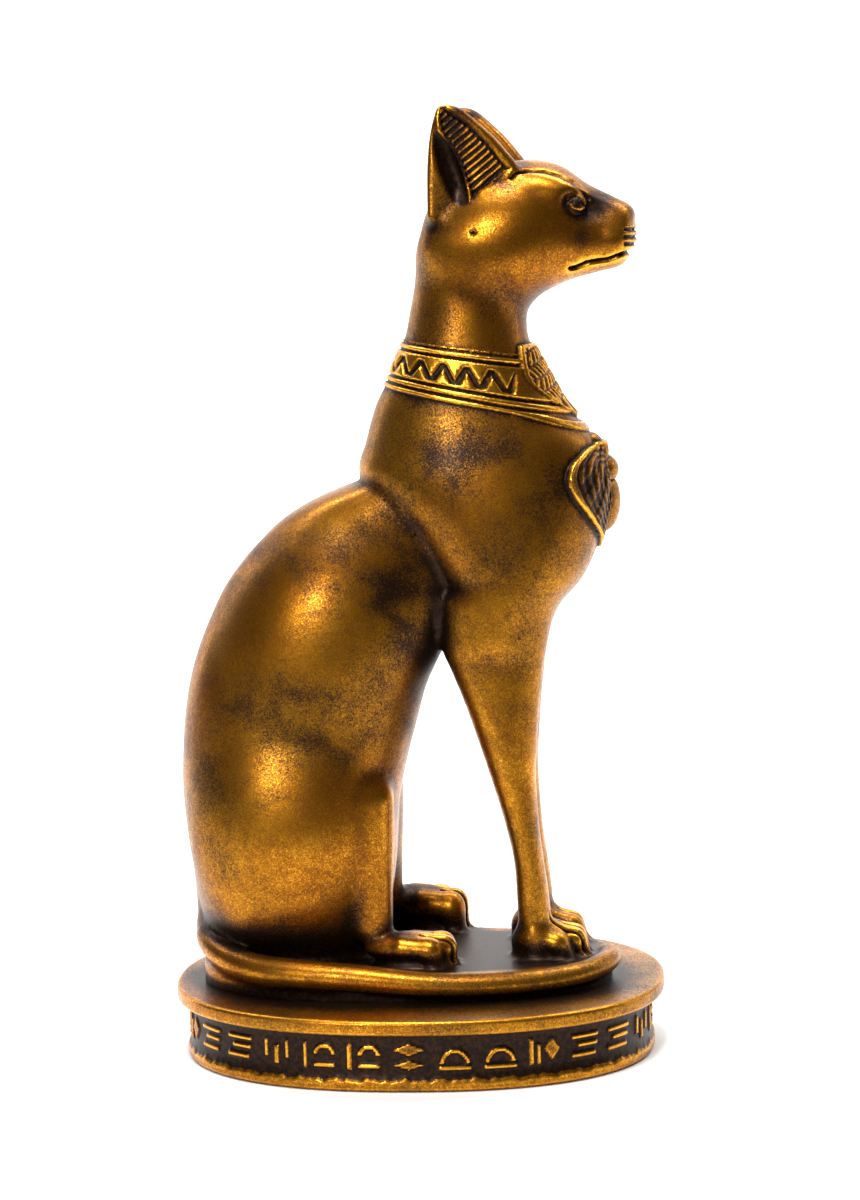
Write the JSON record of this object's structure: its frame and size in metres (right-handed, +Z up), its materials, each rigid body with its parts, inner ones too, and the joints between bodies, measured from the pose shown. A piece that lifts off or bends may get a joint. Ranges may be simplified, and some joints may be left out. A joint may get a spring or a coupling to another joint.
{
  "type": "egyptian cat statue",
  "caption": "Seated cat with upright ears, collar and winged beetle pendant, cast in one with its slab and oval plinth.",
  "frame": {"origin": "middle of the plinth's underside", "axes": "+Z up, +X the way the cat faces, +Y to the side the tail doesn't lie on"},
  "size_m": [0.1046, 0.08, 0.1997],
  "materials": {
    "antique_gold": "cast resin, metallic gold paint rubbed over a dark brown ground, dark in the recesses, satin"
  },
  "bodies": {
    "root": {"cat_on_plinth": "antique_gold"}
  },
  "joints": []
}
